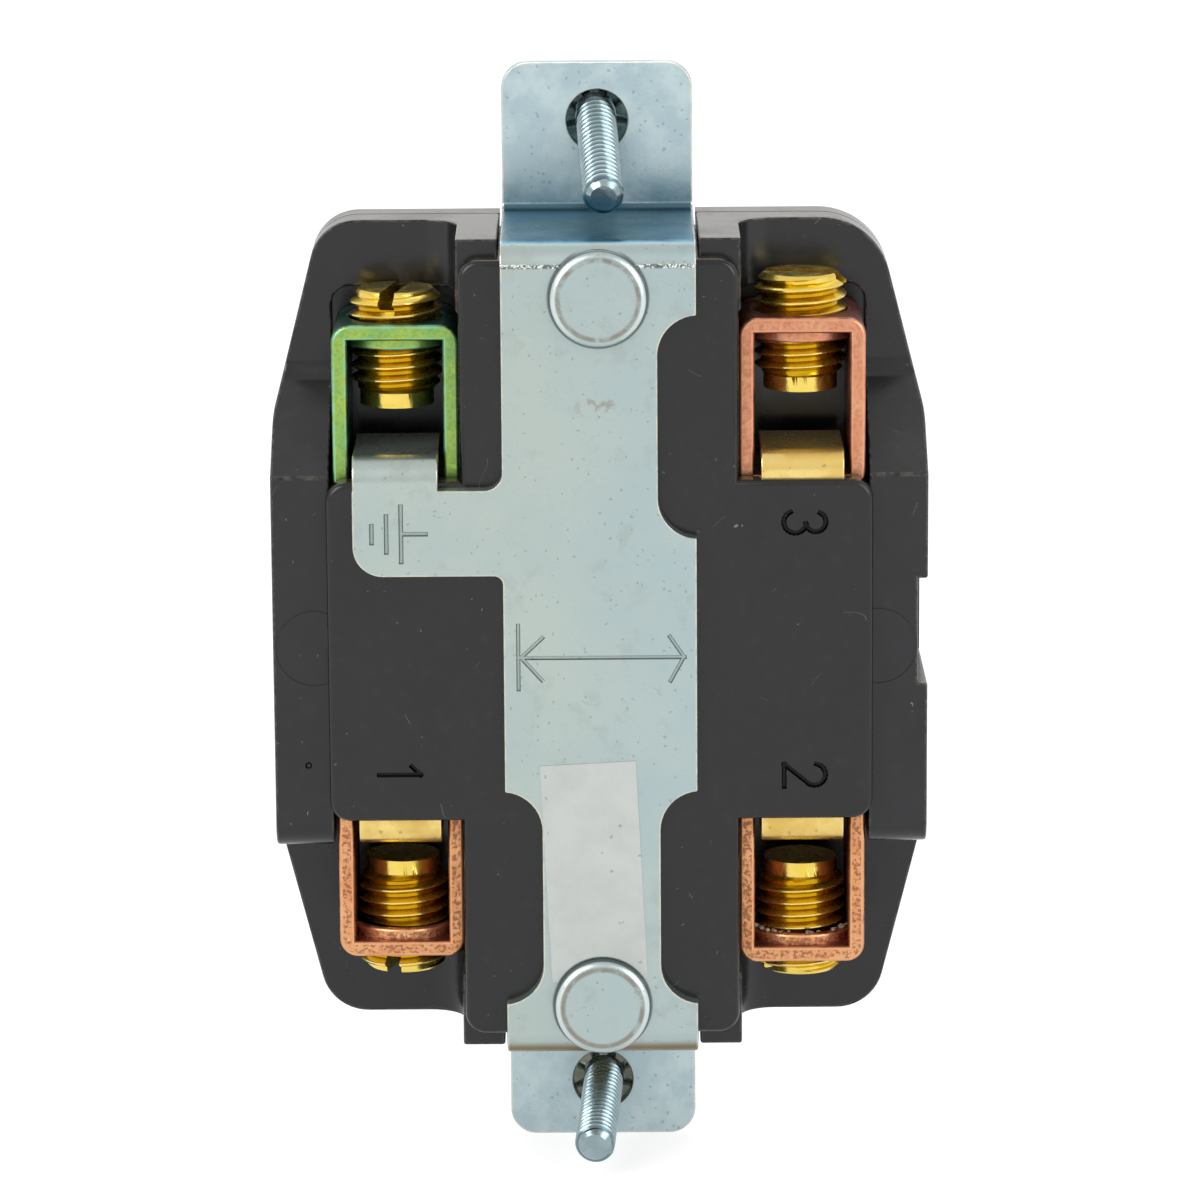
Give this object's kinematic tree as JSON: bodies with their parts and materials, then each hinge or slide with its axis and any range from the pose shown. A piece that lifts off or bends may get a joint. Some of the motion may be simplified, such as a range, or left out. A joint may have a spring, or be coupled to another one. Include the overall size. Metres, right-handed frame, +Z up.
{
  "type": "locking power receptacle",
  "caption": "Flush locking power receptacle with a plated strap, moulded body, caged wire clamps on its wiring side and curved blade slots in its round face.",
  "frame": {"origin": "midway between the two mounting holes, on the side of the ears that faces the wall box", "axes": "+Z up along the strap, +X to the right as seen from the wiring side, +Y out of the plug face"},
  "size_m": [0.054, 0.0275, 0.093],
  "materials": {
    "plated_strap": "bright zinc plate, satin",
    "plated_screw": "bright zinc plate",
    "black_moulding": "moulded, low sheen, dusty",
    "white_label": "semi-gloss film",
    "brass_contact": "satin",
    "spring_steel": "tempered",
    "green_clamp": "green passivated plate",
    "copper_clamp": "copper plate, satin",
    "yellow_screw": "yellow plate, glossy",
    "fibre_washer": "plain fibre"
  },
  "bodies": {
    "housing_body": {"mounting_strap": "plated_strap", "top_rivet": "plated_strap", "bottom_rivet": "plated_strap", "rear_insulator": "black_moulding", "main_housing": "black_moulding", "front_face": "black_moulding", "rating_label": "white_label", "upper_right_contact": "brass_contact", "upper_right_contact_spring": "spring_steel", "lower_left_contact": "brass_contact", "lower_left_contact_spring": "spring_steel", "lower_right_contact": "brass_contact", "lower_right_contact_spring": "spring_steel", "ground_contact": "brass_contact", "ground_contact_spring": "spring_steel", "top_retaining_washer": "fibre_washer", "bottom_retaining_washer": "fibre_washer"},
    "upper_left_screw_body": {"upper_left_clamp_screw": "yellow_screw"},
    "upper_left_clamp_body": {"upper_left_clamp": "green_clamp"},
    "upper_right_screw_body": {"upper_right_clamp_screw": "yellow_screw"},
    "upper_right_clamp_body": {"upper_right_clamp": "copper_clamp"},
    "lower_left_screw_body": {"lower_left_clamp_screw": "yellow_screw"},
    "lower_left_clamp_body": {"lower_left_clamp": "copper_clamp"},
    "lower_right_screw_body": {"lower_right_clamp_screw": "yellow_screw"},
    "lower_right_clamp_body": {"lower_right_clamp": "copper_clamp"},
    "top_mounting_screw_body": {"top_mounting_screw": "plated_screw"},
    "bottom_mounting_screw_body": {"bottom_mounting_screw": "plated_screw"}
  },
  "joints": [
    {"name": "upper_left_screw_turn", "type": "hinge", "parent": "housing_body", "child": "upper_left_screw_body", "pos_m": [-0.01665, -0.00895, 0.024], "axis": [0, 0, 1], "range_deg": [-307, 307]},
    {"name": "upper_left_clamp_travel", "type": "slide", "parent": "housing_body", "child": "upper_left_clamp_body", "axis": [0, 0, 1], "range_m": [-0.0009, 0.0009]},
    {"name": "upper_right_screw_turn", "type": "hinge", "parent": "housing_body", "child": "upper_right_screw_body", "pos_m": [0.01665, -0.00895, 0.024], "axis": [0, 0, 1], "range_deg": [-307, 307]},
    {"name": "upper_right_clamp_travel", "type": "slide", "parent": "housing_body", "child": "upper_right_clamp_body", "axis": [0, 0, 1], "range_m": [-0.0009, 0.0009]},
    {"name": "lower_left_screw_turn", "type": "hinge", "parent": "housing_body", "child": "lower_left_screw_body", "pos_m": [-0.01665, -0.00895, -0.024], "axis": [0, 0, -1], "range_deg": [-307, 307]},
    {"name": "lower_left_clamp_travel", "type": "slide", "parent": "housing_body", "child": "lower_left_clamp_body", "axis": [0, 0, -1], "range_m": [-0.0009, 0.0009]},
    {"name": "lower_right_screw_turn", "type": "hinge", "parent": "housing_body", "child": "lower_right_screw_body", "pos_m": [0.01665, -0.00895, -0.024], "axis": [0, 0, -1], "range_deg": [-307, 307]},
    {"name": "lower_right_clamp_travel", "type": "slide", "parent": "housing_body", "child": "lower_right_clamp_body", "axis": [0, 0, -1], "range_m": [-0.0009, 0.0009]},
    {"name": "top_mounting_screw_turn", "type": "hinge", "parent": "housing_body", "child": "top_mounting_screw_body", "pos_m": [0, 0, 0.04107], "axis": [-0.0366, 0.9557, 0.2922], "continuous": true},
    {"name": "bottom_mounting_screw_turn", "type": "hinge", "parent": "housing_body", "child": "bottom_mounting_screw_body", "pos_m": [0, 0, -0.04202], "axis": [0.0558, 0.993, 0.1044], "continuous": true}
  ],
  "couplings": [
    {"joint": "upper_left_screw_turn", "follows": "upper_left_clamp_travel", "rad_per_m": -5936.9},
    {"joint": "upper_right_screw_turn", "follows": "upper_right_clamp_travel", "rad_per_m": -5936.9},
    {"joint": "lower_left_screw_turn", "follows": "lower_left_clamp_travel", "rad_per_m": -5936.9},
    {"joint": "lower_right_screw_turn", "follows": "lower_right_clamp_travel", "rad_per_m": -5936.9}
  ]
}
